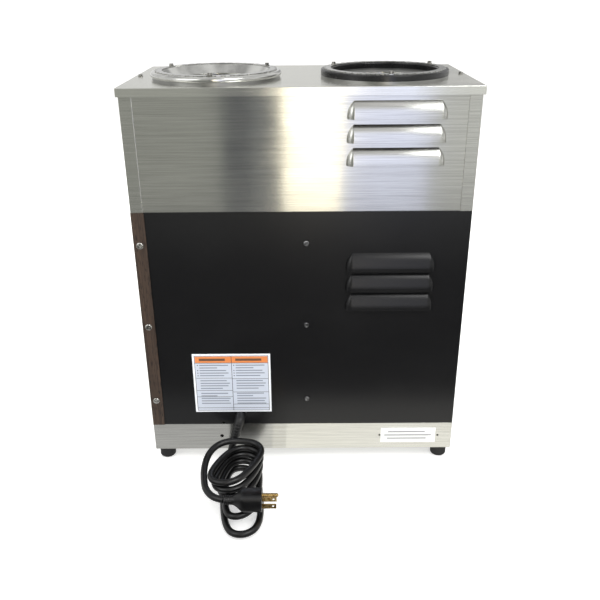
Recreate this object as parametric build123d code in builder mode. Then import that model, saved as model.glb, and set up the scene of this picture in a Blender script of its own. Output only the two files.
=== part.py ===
from build123d import *
import os

# Two-channel heated cheese dispenser, in millimetres. +Z is up, the operator stands at -Y,
# and the origin is on the counter under the middle of the machine. Right is +X.

# Overall sizes
body_width = 419.0
body_depth = 226.0
base_height = 41.5
cabinet_height = 308.0
upper_height = 148.0
base_extension = 70.0
sheet = 1.2
join = 0.1

# Feet
foot_height = 18.0
foot_radius = 11.0
foot_inset = 14.0
foot_screw_radius = 2.0
foot_head_radius = 4.2
foot_head_height = 3.0
base_holes = ((114.2, 21.6, 2.5), (-108.4, 21.5, 1.5), (-190.2, 21.0, 1.5))

# Lid, wells and rings
lid_overhang = 2.5
lid_skirt = 10.0
well_spacing = 208.0
well_from_back = 82.0
well_radius = 56.0
well_step = 1.0
collar_step = 11.3
collar_width = 10.2
collar_height = 4.0
rim_overhang = 2.0
rim_height = 6.4
ring_height = 7.0
ring_shoulder = 8.0
retainer_thickness = 1.2
retainer_width = 8.5
scallop_count = 44
scallop_radius = 2.8
rim_screw_offset = 2.5
rim_screw_radius = 2.0
hex_across_flats = 4.76
hex_height = 2.4
washer_radius = 3.2
washer_thickness = 0.6
lid_screw_inset = 6.0
lid_screw_from_back = 105.0

# Hoppers and heating
flange_margin = 3.0
hopper_depth = 164.0
funnel_height = 38.0
neck_length = 16.0
heater_height = 50.0
heater_thickness = 3.0
heater_drop = 84.0
heater_gap = 8.0
insulation_gap = 10.5
insulation_thickness = 6.5
insulation_height = 124.0
insulation_drop = 15.0
sensor_radius = 3.0
sensor_length = 50.0
sensor_drop = 25.0

# Pumps
tube_outer = 8.0
tube_inner = 5.0
bend_radius = 34.0
tube_corner = 24.0
spout_from_front = 38.0
rotor_rise = 58.8
shaft_radius = 4.0
running_gap = 0.05
lobe_gap = 0.5
lobe_width = 12.0
rotor_width = 14.0
shoe_thickness = 7.5
bracket_gap = 0.5
bracket_thickness = 2.0
bracket_height = 112.0
bracket_foot = 30.0
gearbox_size = 48.0
gearbox_length = 30.0
motor_radius = 18.0
motor_length = 48.0
spout_drop = 29.0
ferrule_drop = 24.0
ferrule_wall = 4.0
ferrule_lip = 1.5

# Dispensing space and the tray in the base
alcove_height = 115.5
alcove_depth = 130.0
tray_width = 300.0
tray_depth = 164.0
tray_wall = 1.0
tray_gap = 1.5
tray_reach = 12.0
grate_margin = 8.0
grate_thickness = 2.0
grate_leg = 5.0
grate_slots = 23
grate_slot_width = 6.0

# Doors
door_gap = 4.0
door_depth = 12.0
door_stand_off = 1.2
door_end_gap = 0.5
hinge_pin = 2.0
hinge_wall = 2.0
hinge_inset = 4.0
hinge_length = 12.0
bracket_tab = 2.0
pull_height = 60.0
pull_reach = 10.0

# Controls on the upper front
lamp_height = 120.5
knob_height = 82.5
button_height = 30.5
lamp_radius = 4.0
knob_radius = 17.0
knob_shaft = 3.0
button_radius = 14.0
button_stem = 5.0
button_travel = 5.0
rocker_half_width = 6.0
rocker_half_length = 10.0
rocker_tilt = 10.0
panel_clearance = 0.4

# Louvers, screws, labels and the cord's exit on the rear
louver_projection = 8.0
louver_pitch = 27.2
upper_louver_width = 116.5
upper_louver_x = -112.3
upper_louver_height = 20.6
upper_louver_top = 132.0
lower_louver_width = 113.0
lower_louver_x = -112.3
lower_louver_height = 22.0
lower_louver_top = 253.8
rear_flange = 15.0
side_flange = 16.5
front_return = 12.0
screw_pitch = 113.1
first_screw_height = 39.9
side_screw_inset = 8.2
side_screw_radius = 2.0
side_head_radius = 4.65
side_head_height = 2.2
centre_screw_x = -6.0
centre_screw_rise = 1.3
centre_screw_radius = 1.6
centre_head_radius = 3.4
centre_head_height = 1.8
label_low = (43.0, 20.5)
label_size = (105.0, 91.0)
tag_low = (-187.0, 9.5)
tag_size = (77.0, 24.0)
sticker = 0.3
exit_x = 86.7
exit_rise = 13.0
boot_radius = 6.6
cord_radius = 4.4

# Plug and coil on the counter behind the machine
plug_length = 48.0
plug_width = 26.0
plug_height = 27.0
plug_place = (75.0, 132.7, 37.0)
blade_length = 17.9
blade_width = 6.35
blade_thickness = 1.5
blade_spacing = 12.7
ground_offset = 11.9
ground_radius = 2.4
ground_length = 20.6
coil_low_size = (62.0, 146.0, 21.0)
coil_low_centre = (79.0, 98.0)
coil_high_size = (84.0, 90.0, 34.0)
coil_high_centre = (88.0, 72.0)

# Levels and planes that follow from the sizes above
base_bottom = foot_height
base_top = base_bottom + base_height
cabinet_top = base_top + cabinet_height
lid_top = cabinet_top + upper_height
lid_under = lid_top - sheet
total_depth = louver_projection + body_depth + base_extension + tray_reach
back_y = total_depth / 2 - louver_projection
front_y = back_y - body_depth
base_front_y = front_y - base_extension
half_width = body_width / 2
inner_half = half_width - sheet
well_x = well_spacing / 2
well_y = back_y - well_from_back
ring_inner = well_radius + well_step
collar_inner = ring_inner + collar_step
collar_outer = collar_inner + collar_width
rim_outer = collar_outer + rim_overhang
black_inner = ring_inner + ring_shoulder
rim_screw_circle = collar_inner + rim_screw_offset
hopper_flange = collar_outer - flange_margin
insulation_inner = well_radius + insulation_gap
alcove_y = front_y + alcove_depth
floor_level = base_top + alcove_height
floor_top = floor_level + sheet
spout_y = front_y + spout_from_front
spout_end = floor_level - spout_drop
rotor_y = spout_y + bend_radius
rotor_z = floor_top + rotor_rise
tube_level = rotor_z + bend_radius
funnel_top = lid_top - hopper_depth
neck_top = funnel_top - funnel_height
neck_bottom = neck_top - neck_length
neck_radius = tube_outer + 0.2
ferrule_flange = tube_outer + ferrule_wall + ferrule_lip
bracket_offset = ferrule_flange + bracket_gap
screw_levels = [base_top + first_screw_height + i * screw_pitch for i in range(3)]
sides = (-1, 1)


def plate(low, high, mode=Mode.ADD):
    """Adds or cuts the box between two opposite corners."""
    low, high = [min(a, b) for a, b in zip(low, high)], [max(a, b) for a, b in zip(low, high)]
    with Locations(tuple((a + b) / 2 for a, b in zip(low, high))):
        Box(*(b - a for a, b in zip(low, high)), mode=mode)


def rod(start, axis, radius, length, mode=Mode.ADD):
    """Adds or cuts a cylinder that starts at a point and runs along an axis."""
    with Locations(Plane(origin=start, z_dir=axis).location):
        Cylinder(radius, length, align=(Align.CENTER, Align.CENTER, Align.MIN), mode=mode)


def write_piece(piece, name):
    """Labels a finished piece and writes its STEP file."""
    piece.part.label = name
    export_step(piece.part, f"parts/{name}.step")


def louver_hood(width, height, projection):
    """The filled shape of one louver, standing on its lower edge against the XZ plane."""
    straight = width - 2 * projection
    with BuildPart() as hood:
        with BuildSketch(Plane.YZ.offset(-straight / 2)) as outline:
            with BuildLine():
                Line((0, 0), (projection, 0))
                Line((projection, 0), (projection, height * 0.15))
                ThreePointArc(
                    (projection, height * 0.15),
                    (projection * 0.66, height * 0.68),
                    (0, height),
                )
                Line((0, height), (0, 0))
            make_face()
        extrude(amount=straight)
        for end in (-straight / 2, straight / 2):
            add(outline.sketch.moved(Location((end + straight / 2, 0, 0))))
            revolve(axis=Axis((end, 0, 0), (0, 0, 1)))
        plate((-width, -projection - 1, -1), (width, 0, height + 1), Mode.SUBTRACT)
    return hood.part


def rim_points(side):
    """The places of a well's three rim screws, one of them at the rear."""
    centre = Vector(side * well_x, well_y)
    return [centre + Vector(rim_screw_circle, 0).rotate(Axis.Z, 90 + 120 * i) for i in range(3)]


def rim_holes(side, low, high, radius):
    """Cuts a well's three rim screw holes between two levels."""
    for point in rim_points(side):
        rod((point.X, point.Y, low), (0, 0, 1), radius, high - low, Mode.SUBTRACT)


os.makedirs("parts", exist_ok=True)

# Base: a shallow box of folded sheet on four feet, open at the front for the tray
slot_half = tray_width / 2 + tray_gap
grate_half = tray_width / 2 - grate_margin
grate_front = base_front_y + grate_margin
grate_back = base_front_y + tray_depth - grate_margin
foot_y = (base_front_y + foot_inset, back_y - foot_inset)
foot_points = [(s * (half_width - foot_inset), y) for s in sides for y in foot_y]
with BuildPart() as base_chassis:
    plate((-half_width, base_front_y, base_bottom), (half_width, back_y, base_top))
    fillet(base_chassis.edges().filter_by(Axis.Z), radius=0.8 * sheet)
    plate(
        (-inner_half, base_front_y + sheet, base_bottom + sheet),
        (inner_half, back_y - sheet, base_top - sheet),
        Mode.SUBTRACT,
    )
    plate(
        (-slot_half, base_front_y - 1, base_bottom + sheet),
        (slot_half, base_front_y + 2 * sheet, base_top - sheet),
        Mode.SUBTRACT,
    )
    plate(
        (-grate_half - tray_gap, grate_front - tray_gap, base_top - 2 * sheet),
        (grate_half + tray_gap, grate_back + tray_gap, base_top + 1),
        Mode.SUBTRACT,
    )
    for hole_x, hole_rise, hole_radius in base_holes:
        start = (hole_x, back_y - 2 * sheet, base_bottom + hole_rise)
        rod(start, (0, 1, 0), hole_radius, 3 * sheet, Mode.SUBTRACT)
    for foot in foot_points:
        start = (*foot, base_bottom - 1)
        rod(start, (0, 0, 1), foot_screw_radius + join, 1 + 2 * sheet, Mode.SUBTRACT)
write_piece(base_chassis, "base_chassis")

with BuildPart() as rubber_feet:
    for foot in foot_points:
        rod((*foot, 0), (0, 0, 1), foot_radius, foot_height)
    lower_rims = rubber_feet.edges().filter_by(GeomType.CIRCLE).group_by(Axis.Z)[0]
    fillet(lower_rims, radius=3)
    for foot in foot_points:
        rod((*foot, 0), (0, 0, 1), foot_screw_radius + join, foot_height, Mode.SUBTRACT)
        rod((*foot, 0), (0, 0, 1), foot_head_radius + join, foot_height / 2, Mode.SUBTRACT)
write_piece(rubber_feet, "rubber_feet")

with BuildPart() as foot_screws:
    for foot in foot_points:
        head_start = (*foot, foot_height / 2 - foot_head_height)
        rod(head_start, (0, 0, 1), foot_head_radius, foot_head_height)
        rod((*foot, foot_height / 2), (0, 0, 1), foot_screw_radius, foot_height / 2 + 2 * sheet)
write_piece(foot_screws, "foot_screws")

# Lower cabinet: a black wrapper for back and left side, and a separate right side
wrapper_edge = inner_half - join
screw_x = half_width - side_screw_inset
lower_hood = louver_hood(lower_louver_width, lower_louver_height, louver_projection)
lower_hollow = louver_hood(
    lower_louver_width - 2 * sheet, lower_louver_height - 2 * sheet, louver_projection - sheet
)
lower_louver_levels = [
    base_top + lower_louver_top - lower_louver_height - i * louver_pitch for i in range(3)
]
with BuildPart() as body_wrapper:
    plate((-half_width, back_y - sheet, base_top), (wrapper_edge, back_y, cabinet_top))
    plate((-half_width, front_y, base_top), (-inner_half, back_y, cabinet_top))
    plate((-half_width, front_y, base_top), (front_return - half_width, front_y + sheet, cabinet_top))
    fillet(
        body_wrapper.edges().filter_by(Axis.Z).sort_by_distance((-half_width, back_y, base_top))[0],
        radius=0.8 * sheet,
    )
    for level in lower_louver_levels:
        add(lower_hood.moved(Location((lower_louver_x, back_y, level))))
        add(lower_hollow.moved(Location((lower_louver_x, back_y, level))), mode=Mode.SUBTRACT)
        opening_half = lower_louver_width / 2 - louver_projection
        plate(
            (lower_louver_x - opening_half, back_y - 2 * sheet, level + sheet),
            (lower_louver_x + opening_half, back_y, level + 0.6 * lower_louver_height),
            Mode.SUBTRACT,
        )
    rod(
        (exit_x, back_y - 2 * sheet, base_top + exit_rise), (0, 1, 0), boot_radius + 2 * join, 3 * sheet,
        Mode.SUBTRACT,
    )
    rod((110.7, back_y - 2 * sheet, base_top + 1), (0, 1, 0), 2.5, 3 * sheet, Mode.SUBTRACT)
    for level in screw_levels:
        start = (screw_x, back_y - 2 * sheet, level)
        rod(start, (0, 1, 0), side_screw_radius + join, 3 * sheet, Mode.SUBTRACT)
        start = (centre_screw_x, back_y - 2 * sheet, level + centre_screw_rise)
        rod(start, (0, 1, 0), centre_screw_radius + join, 3 * sheet, Mode.SUBTRACT)
write_piece(body_wrapper, "body_wrapper")

with BuildPart() as side_access_panel:
    plate((inner_half, front_y, base_top), (half_width, back_y + sheet, cabinet_top))
    plate((half_width - side_flange, back_y, base_top), (half_width, back_y + sheet, cabinet_top))
    plate((half_width - front_return, front_y, base_top), (half_width, front_y + sheet, cabinet_top))
    upright_edges = side_access_panel.edges().filter_by(Axis.Z)
    fillet(
        upright_edges.sort_by_distance((half_width, back_y + sheet, base_top))[0],
        radius=0.8 * sheet,
    )
    for level in screw_levels:
        start = (screw_x, back_y - sheet, level)
        rod(start, (0, 1, 0), side_screw_radius + join, 3 * sheet, Mode.SUBTRACT)
write_piece(side_access_panel, "side_access_panel")

with BuildPart() as access_panel_screws:
    for level in screw_levels:
        rod((screw_x, back_y + sheet, level), (0, 1, 0), side_head_radius, side_head_height)
    outer_rims = access_panel_screws.edges().filter_by(GeomType.CIRCLE).group_by(Axis.Y)[-1]
    fillet(outer_rims, radius=0.8 * side_head_height)
    for level in screw_levels:
        rod((screw_x, back_y + sheet, level), (0, -1, 0), side_screw_radius, 11)
        face_y = back_y + sheet + side_head_height
        for turn in ((2.6, 0.5), (0.5, 2.6)):
            plate(
                (screw_x - turn[0], face_y - 1, level - turn[1]),
                (screw_x + turn[0], face_y + 1, level + turn[1]),
                Mode.SUBTRACT,
            )
write_piece(access_panel_screws, "access_panel_screws")

with BuildPart() as wrapper_screws:
    for level in screw_levels:
        place = (centre_screw_x, back_y, level + centre_screw_rise)
        rod(place, (0, 1, 0), centre_head_radius, centre_head_height)
    outer_rims = wrapper_screws.edges().filter_by(GeomType.CIRCLE).group_by(Axis.Y)[-1]
    fillet(outer_rims, radius=0.7 * centre_head_height)
    for level in screw_levels:
        middle = level + centre_screw_rise
        rod((centre_screw_x, back_y, middle), (0, -1, 0), centre_screw_radius, 8)
        face_y = back_y + centre_head_height
        for turn in ((1.9, 0.35), (0.35, 1.9)):
            plate(
                (centre_screw_x - turn[0], face_y - 0.8, middle - turn[1]),
                (centre_screw_x + turn[0], face_y + 1, middle + turn[1]),
                Mode.SUBTRACT,
            )
write_piece(wrapper_screws, "wrapper_screws")

# Inner sheets: the wall behind the dispensing space, the pump floor, the divider and the deck
lining = inner_half - 2 * join
with BuildPart() as alcove_back:
    plate((-lining, alcove_y, base_top), (lining, alcove_y + sheet, floor_level))
write_piece(alcove_back, "alcove_back")

with BuildPart() as compartment_floor:
    plate(
        (-lining, front_y + sheet + join, floor_level), (lining, alcove_y + sheet, floor_top)
    )
    plate(
        (join + front_return - half_width, front_y + join, floor_level - 2 * sheet),
        (half_width - front_return - join, front_y + sheet + join, floor_top),
    )
    for side in sides:
        start = (side * well_x, spout_y, floor_level - 1)
        rod(start, (0, 0, 1), tube_outer + ferrule_wall + 2 * join, 4 * sheet, Mode.SUBTRACT)
write_piece(compartment_floor, "compartment_floor")

divider_back = back_y - sheet
with BuildPart() as centre_partition:
    plate((-sheet / 2, alcove_y + sheet, base_top), (sheet / 2, divider_back, floor_top))
    plate(
        (-sheet / 2, front_y + 2 * sheet, floor_top), (sheet / 2, divider_back, cabinet_top - sheet)
    )
    plate(
        (2 * centre_screw_x, divider_back - sheet, base_top),
        (sheet / 2, divider_back, cabinet_top - sheet),
    )
    for level in screw_levels:
        start = (centre_screw_x, divider_back - 2 * sheet, level + centre_screw_rise)
        rod(start, (0, 1, 0), centre_screw_radius + join, 4 * sheet, Mode.SUBTRACT)
    rod((-sheet, back_y - 30, base_top + 60), (1, 0, 0), 12, 3 * sheet, Mode.SUBTRACT)
write_piece(centre_partition, "centre_partition")

deck_gap = 6.0
with BuildPart() as mid_deck:
    plate(
        (-lining, front_y + sheet + join, cabinet_top - sheet),
        (lining, back_y - sheet - join, cabinet_top),
    )
    for side in sides:
        start = (side * well_x, well_y, cabinet_top - 2 * sheet)
        rod(start, (0, 0, 1), well_radius + deck_gap, 4 * sheet, Mode.SUBTRACT)
write_piece(mid_deck, "mid_deck")

# Upper housing in brushed steel, its louvered rear panel set in behind two flanges
control_x = well_x
lamp_z = cabinet_top + lamp_height
knob_z = cabinet_top + knob_height
button_z = cabinet_top + button_height
rocker_wall = 1.5
rocker_hole_x = rocker_half_width + rocker_wall + 2 * join
rocker_hole_z = rocker_half_length + rocker_wall + 2.2
lid_screw_x = half_width - lid_screw_inset
lid_screw_y = back_y - lid_screw_from_back
with BuildPart() as upper_housing:
    plate((-half_width, front_y, cabinet_top), (half_width, back_y, lid_under))
    fillet(upper_housing.edges().filter_by(Axis.Z), radius=0.8 * sheet)
    plate(
        (-inner_half, front_y + sheet, cabinet_top - 1),
        (inner_half, back_y - sheet, lid_under - sheet),
        Mode.SUBTRACT,
    )
    plate(
        (rear_flange - half_width, back_y - 2 * sheet, cabinet_top - 1),
        (half_width - rear_flange, back_y + 1, lid_under + 1),
        Mode.SUBTRACT,
    )
    plate(
        (rear_flange - half_width, front_y + rear_flange, lid_under - 2 * sheet),
        (half_width - rear_flange, back_y + 1, lid_under + 1),
        Mode.SUBTRACT,
    )
    for side in sides:
        for level, radius in ((lamp_z, lamp_radius), (knob_z, knob_shaft), (button_z, button_stem)):
            start = (side * control_x, front_y - 1, level)
            rod(start, (0, 1, 0), radius + panel_clearance, 3 * sheet, Mode.SUBTRACT)
        start = (side * lid_screw_x, lid_screw_y, lid_under - 2 * sheet)
        rod(start, (0, 0, 1), rim_screw_radius + join, 3 * sheet, Mode.SUBTRACT)
    plate(
        (-rocker_hole_x, front_y - 1, knob_z - rocker_hole_z),
        (rocker_hole_x, front_y + 2 * sheet, knob_z + rocker_hole_z),
        Mode.SUBTRACT,
    )
write_piece(upper_housing, "upper_housing")

panel_y = back_y - sheet
upper_hood = louver_hood(upper_louver_width, upper_louver_height, louver_projection)
upper_hollow = louver_hood(
    upper_louver_width - 2 * sheet, upper_louver_height - 2 * sheet, louver_projection - sheet
)
upper_louver_levels = [
    cabinet_top + upper_louver_top - upper_louver_height - i * louver_pitch for i in range(3)
]
with BuildPart() as upper_rear_panel:
    plate((-lining, panel_y - sheet, cabinet_top + join), (lining, panel_y, lid_under - sheet - join))
    for level in upper_louver_levels:
        add(upper_hood.moved(Location((upper_louver_x, panel_y, level))))
        add(upper_hollow.moved(Location((upper_louver_x, panel_y, level))), mode=Mode.SUBTRACT)
        opening_half = upper_louver_width / 2 - louver_projection
        plate(
            (upper_louver_x - opening_half, panel_y - 2 * sheet, level + sheet),
            (upper_louver_x + opening_half, panel_y, level + 0.6 * upper_louver_height),
            Mode.SUBTRACT,
        )
write_piece(upper_rear_panel, "upper_rear_panel")

# Lid: a shallow pan over the housing with a round hole over each well
lid_half = half_width + lid_overhang
lid_hole = ring_inner + sheet + 4 * join
with BuildPart() as top_cover:
    plate(
        (-lid_half, front_y - lid_overhang, lid_top - lid_skirt),
        (lid_half, back_y + lid_overhang, lid_top),
    )
    fillet(top_cover.edges().filter_by(Axis.Z), radius=0.8 * sheet)
    fillet(top_cover.edges().group_by(Axis.Z)[-1], radius=0.7 * sheet)
    plate(
        (sheet - lid_half, front_y - lid_overhang + sheet, lid_top - lid_skirt - 1),
        (lid_half - sheet, back_y + lid_overhang - sheet, lid_under),
        Mode.SUBTRACT,
    )
    for side in sides:
        rod((side * well_x, well_y, lid_under - 1), (0, 0, 1), lid_hole, 3 * sheet, Mode.SUBTRACT)
        rim_holes(side, lid_under - 1, lid_top + 1, rim_screw_radius + join)
        start = (side * lid_screw_x, lid_screw_y, lid_under - 1)
        rod(start, (0, 0, 1), rim_screw_radius + join, 3 * sheet, Mode.SUBTRACT)
write_piece(top_cover, "top_cover")


def hex_screw(point, seat, length):
    """Adds a washer-head hex screw that stands on a seat and reaches down from it."""
    rod((*point, seat), (0, 0, 1), washer_radius, washer_thickness)
    rod((*point, seat), (0, 0, -1), rim_screw_radius, length)
    with Locations((*point, seat + washer_thickness + hex_height / 2)):
        Box(hex_across_flats, hex_across_flats / 3**0.5, hex_height)
        Box(hex_across_flats, hex_across_flats / 3**0.5, hex_height, rotation=(0, 0, 60))
        Box(hex_across_flats, hex_across_flats / 3**0.5, hex_height, rotation=(0, 0, 120))


with BuildPart() as top_cover_screws:
    for side in sides:
        hex_screw((side * lid_screw_x, lid_screw_y), lid_top, 8)
write_piece(top_cover_screws, "top_cover_screws")

# Rings on the lid: a collar under each, then a black ring on the left well and a spun steel
# one on the right, each held down by a scalloped retaining ring. The left collar and the right
# ring slope down into their wells.
slope_foot = ring_inner + 1.5
left_plane = Plane(origin=(-well_x, well_y, lid_top), x_dir=(1, 0, 0), z_dir=(0, -1, 0))
right_plane = Plane(origin=(well_x, well_y, lid_top), x_dir=(1, 0, 0), z_dir=(0, -1, 0))
with BuildPart() as well_collars:
    for side in sides:
        rod((side * well_x, well_y, lid_top), (0, 0, 1), collar_outer, collar_height)
        rod((side * well_x, well_y, lid_top), (0, 0, 1), collar_inner, collar_height, Mode.SUBTRACT)
    with BuildSketch(left_plane):
        Polygon(
            (ring_inner, 0), (slope_foot, 0), (collar_inner + 1, collar_height - sheet),
            (collar_inner + 1, collar_height), (black_inner, collar_height), align=None,
        )
    revolve(axis=Axis((-well_x, well_y, 0), (0, 0, 1)))
    for side in sides:
        rim_holes(side, lid_top - 1, lid_top + collar_height + 1, rim_screw_radius + join)
write_piece(well_collars, "well_collars")

left_seat = collar_height + ring_height
with BuildPart() as black_rim_ring:
    with BuildSketch(left_plane):
        Polygon(
            (black_inner, collar_height), (collar_outer + join, collar_height),
            (collar_outer + join, left_seat), (black_inner, left_seat), align=None,
        )
    revolve(axis=Axis((-well_x, well_y, 0), (0, 0, 1)))
    outer_rims = black_rim_ring.edges().filter_by(GeomType.CIRCLE).group_by(Axis.Z)[-1]
    fillet(outer_rims, radius=1.5)
    rim_holes(-1, lid_top - 1, lid_top + 20, rim_screw_radius + join)
write_piece(black_rim_ring, "black_rim_ring")

rim_top = collar_height + rim_height
with BuildPart() as steel_rim_ring:
    with BuildSketch(right_plane):
        with BuildLine():
            Polyline((ring_inner, 0), (slope_foot, 0), (black_inner + sheet, rim_top - sheet),
                     (rim_outer - 4.8, rim_top - sheet))
            ThreePointArc((rim_outer - 4.8, rim_top - sheet), (rim_outer - 1.6, rim_top - 3.2),
                          (rim_outer - 2.0, collar_height + sheet))
            Polyline((rim_outer - 2.0, collar_height + sheet), (collar_inner, collar_height + sheet),
                     (collar_inner, collar_height), (rim_outer - 1.2, collar_height))
            ThreePointArc((rim_outer - 1.2, collar_height), (rim_outer, collar_height + 2.6),
                          (rim_outer - 4.4, rim_top))
            Polyline((rim_outer - 4.4, rim_top), (black_inner, rim_top), (ring_inner, 0))
        make_face()
    revolve(axis=Axis((well_x, well_y, 0), (0, 0, 1)))
    rim_holes(1, lid_top + 1, lid_top + 20, rim_screw_radius + join)
write_piece(steel_rim_ring, "steel_rim_ring")

retainer_inner = black_inner + 1.5
retainer_outer = retainer_inner + retainer_width
for side, side_name, seat in ((-1, "left", left_seat), (1, "right", rim_top)):
    with BuildPart() as retaining_ring:
        start = (side * well_x, well_y, lid_top + seat)
        rod(start, (0, 0, 1), retainer_outer, retainer_thickness)
        rod(start, (0, 0, 1), retainer_inner, retainer_thickness, Mode.SUBTRACT)
        rim_holes(side, lid_top, lid_top + 20, rim_screw_radius + join)
        with Locations((side * well_x, well_y, lid_top)):
            with PolarLocations(retainer_outer + 0.4, scallop_count, start_angle=180 / scallop_count):
                Cylinder(scallop_radius, 60, mode=Mode.SUBTRACT)
    write_piece(retaining_ring, f"retaining_ring_{side_name}")

right_seat = rim_top + retainer_thickness
with BuildPart() as rim_screws:
    for side, seat in ((-1, left_seat + retainer_thickness), (1, right_seat)):
        for point in rim_points(side):
            hex_screw((point.X, point.Y), lid_top + seat, seat + 2 * sheet + 3)
write_piece(rim_screws, "rim_screws")

# Hoppers: straight steel wells with a funnel that ends in a neck for the product tube
for side, side_name in ((-1, "left"), (1, "right")):
    hopper_plane = Plane(origin=(side * well_x, well_y, 0), x_dir=(1, 0, 0), z_dir=(0, -1, 0))
    outer_wall = well_radius + sheet
    with BuildPart() as hopper:
        with BuildSketch(hopper_plane):
            Polygon(
                (well_radius, lid_under), (well_radius, funnel_top), (neck_radius, neck_top),
                (neck_radius, neck_bottom), (neck_radius + sheet, neck_bottom),
                (neck_radius + sheet, neck_top - 0.8 * sheet), (outer_wall, funnel_top - 0.8 * sheet),
                (outer_wall, lid_under - sheet), (hopper_flange, lid_under - sheet),
                (hopper_flange, lid_under), align=None,
            )
        revolve(axis=Axis((side * well_x, well_y, 0), (0, 0, 1)))
        rim_holes(side, lid_under - 2 * sheet, lid_under + 1, rim_screw_radius + running_gap)
    write_piece(hopper, f"hopper_{side_name}")

heater_top = lid_top - heater_drop
heater_inner = well_radius + sheet + join
with BuildPart() as band_heaters:
    for side in sides:
        start = (side * well_x, well_y, heater_top - heater_height)
        rod(start, (0, 0, 1), heater_inner + heater_thickness, heater_height)
        rod(start, (0, 0, 1), heater_inner, heater_height, Mode.SUBTRACT)
        plate(
            (side * well_x - heater_gap / 2, well_y + well_radius - 5, heater_top - heater_height),
            (side * well_x + heater_gap / 2, well_y + insulation_inner, heater_top),
            Mode.SUBTRACT,
        )
        for edge in sides:
            lug_x = side * well_x + edge * heater_gap / 2
            plate(
                (lug_x, well_y + heater_inner + 0.5, heater_top - 35),
                (lug_x + edge * 1.5, well_y + insulation_inner - 0.5, heater_top - 15),
            )
write_piece(band_heaters, "band_heaters")

with BuildPart() as hopper_insulation:
    for side in sides:
        start = (side * well_x, well_y, lid_top - insulation_drop - insulation_height)
        rod(start, (0, 0, 1), insulation_inner + insulation_thickness, insulation_height)
        rod(start, (0, 0, 1), insulation_inner, insulation_height, Mode.SUBTRACT)
write_piece(hopper_insulation, "hopper_insulation")

with BuildPart() as hopper_sensors:
    for side in sides:
        sensor_y = well_y - well_radius - sheet - sensor_radius
        start = (side * well_x, sensor_y, lid_top - sensor_drop - sensor_length)
        rod(start, (0, 0, 1), sensor_radius, sensor_length)
write_piece(hopper_sensors, "hopper_sensors")

# Product tubes: down from the neck, forward, then round the pump track to the spout
with BuildPart() as product_tubes:
    for side in sides:
        with BuildLine() as tube_route:
            FilletPolyline(
                (side * well_x, well_y, neck_bottom + 4),
                (side * well_x, well_y, tube_level),
                (side * well_x, spout_y, tube_level),
                (side * well_x, spout_y, spout_end),
                radius=[tube_corner, bend_radius],
            )
        with BuildSketch(Plane(origin=tube_route.line @ 0, z_dir=tube_route.line % 0)):
            Circle(tube_outer)
            Circle(tube_inner, mode=Mode.SUBTRACT)
        sweep()
write_piece(product_tubes, "product_tubes")

with BuildPart() as spout_ferrules:
    for side in sides:
        start = (side * well_x, spout_y, floor_top)
        rod(start, (0, 0, 1), ferrule_flange, 2 * sheet)
        rod(start, (0, 0, -1), tube_outer + ferrule_wall, ferrule_drop)
        rod((side * well_x, spout_y, spout_end), (0, 0, 1), tube_outer + 2 * join, 60, Mode.SUBTRACT)
write_piece(spout_ferrules, "spout_ferrules")

# Peristaltic pumps: a lobed rotor on a shaft squeezes the tube against a quarter-round shoe
plate_x = well_x + bracket_offset
bracket_outer = plate_x + bracket_thickness
shoe_inner = bend_radius + tube_outer + lobe_gap
shoe_cut = 2 * (shoe_inner + shoe_thickness)
with BuildPart() as pump_brackets:
    for side in sides:
        plate(
            (side * plate_x, spout_y - 18, floor_top),
            (side * bracket_outer, alcove_y - 12, floor_top + bracket_height),
        )
        plate(
            (side * plate_x, spout_y - 18, floor_top),
            (side * (bracket_outer + bracket_foot), alcove_y - 12, floor_top + bracket_thickness),
        )
        rod(
            (side * (plate_x - 1), rotor_y, rotor_z), (side, 0, 0), shaft_radius + running_gap,
            bracket_thickness + 2, Mode.SUBTRACT,
        )
write_piece(pump_brackets, "pump_brackets")

with BuildPart() as pump_shoes:
    for side in sides:
        start = (side * (well_x - tube_outer - 3), rotor_y, rotor_z)
        shoe_length = bracket_offset + tube_outer + 3
        rod(start, (side, 0, 0), shoe_inner + shoe_thickness, shoe_length)
        rod(start, (side, 0, 0), shoe_inner, shoe_length, Mode.SUBTRACT)
        low_x, high_x = side * (plate_x - shoe_cut), side * (plate_x + shoe_cut)
        plate(
            (low_x, rotor_y, rotor_z - shoe_cut), (high_x, rotor_y + shoe_cut, rotor_z + shoe_cut),
            Mode.SUBTRACT,
        )
        plate((low_x, rotor_y - shoe_cut, rotor_z - shoe_cut), (high_x, rotor_y + 1, rotor_z), Mode.SUBTRACT)
write_piece(pump_shoes, "pump_shoes")

lobe_reach = bend_radius - tube_outer - lobe_gap
for side, side_name in ((-1, "left"), (1, "right")):
    with BuildPart() as rotor:
        with BuildSketch(Plane(origin=(side * (well_x - rotor_width / 2), rotor_y, rotor_z),
                               x_dir=(0, 1, 0), z_dir=(side, 0, 0))):
            Circle(1.2 * lobe_width)
            SlotOverall(2 * lobe_reach, lobe_width)
            SlotOverall(2 * lobe_reach, lobe_width, rotation=90)
        extrude(amount=rotor_width)
        rod(
            (side * well_x, rotor_y, rotor_z), (side, 0, 0), shaft_radius,
            bracket_offset + bracket_thickness + 0.6 * gearbox_length,
        )
    write_piece(rotor, f"pump_rotor_{side_name}")

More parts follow.
